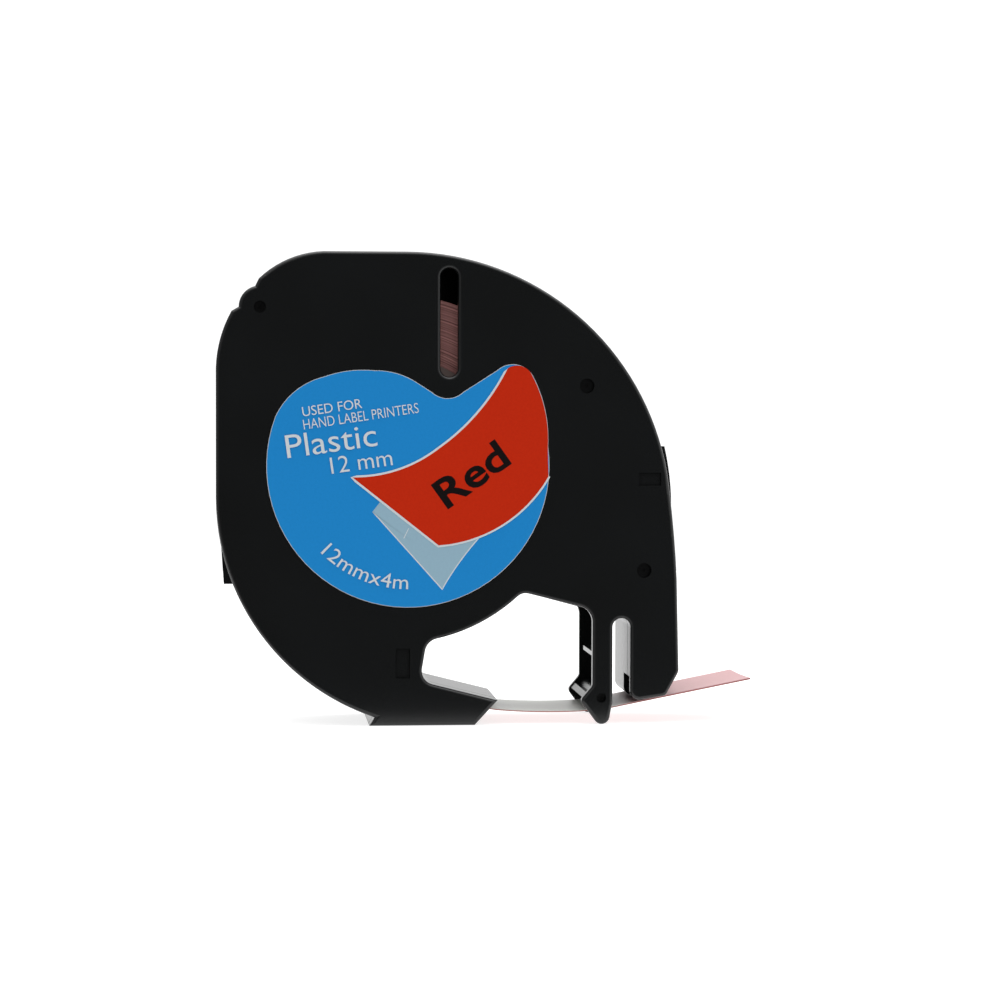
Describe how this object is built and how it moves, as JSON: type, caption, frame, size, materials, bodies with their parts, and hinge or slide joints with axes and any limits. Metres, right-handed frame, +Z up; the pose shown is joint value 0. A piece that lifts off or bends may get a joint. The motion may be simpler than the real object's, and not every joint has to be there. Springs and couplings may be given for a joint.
{
  "type": "label tape cassette",
  "caption": "Flat two-shell label-tape cassette with a turning spool, a roll window, a print-head notch and a free tape end that feeds out.",
  "frame": {"origin": "on the spool axis, in the plane of the back face, at the mouth of the hub bore", "axes": "+Z up, +X towards the free tape end, +Y out of the back face"},
  "size_m": [0.0729, 0.0153, 0.0639],
  "materials": {
    "case_black": "satin moulded",
    "label_print": "printed sticker",
    "core_grey": "matte moulded",
    "tape_film_red": "glossy film",
    "tape_liner": "smooth release paper"
  },
  "bodies": {
    "case": {"front_cover": "case_black", "rear_shell": "case_black", "front_label": "label_print", "tape_run_liner": "tape_liner", "tape_run_film": "tape_film_red"},
    "spool": {"spool_core": "core_grey", "tape_roll": "tape_film_red"},
    "tape_tail": {"tape_tail_liner": "tape_liner", "tape_tail_film": "tape_film_red"}
  },
  "joints": [
    {"name": "spool_spin", "type": "hinge", "parent": "case", "child": "spool", "pos_m": [0, -0.0076, 0], "axis": [0, -1, 0], "range_deg": [0, 15.27]},
    {"name": "tape_feed", "type": "slide", "parent": "case", "child": "tape_tail", "axis": [0.9823, 0, 0.1874], "range_m": [0, 0.006]}
  ],
  "couplings": [
    {"joint": "tape_feed", "follows": "spool_spin", "m_per_rad": 0.0225}
  ]
}
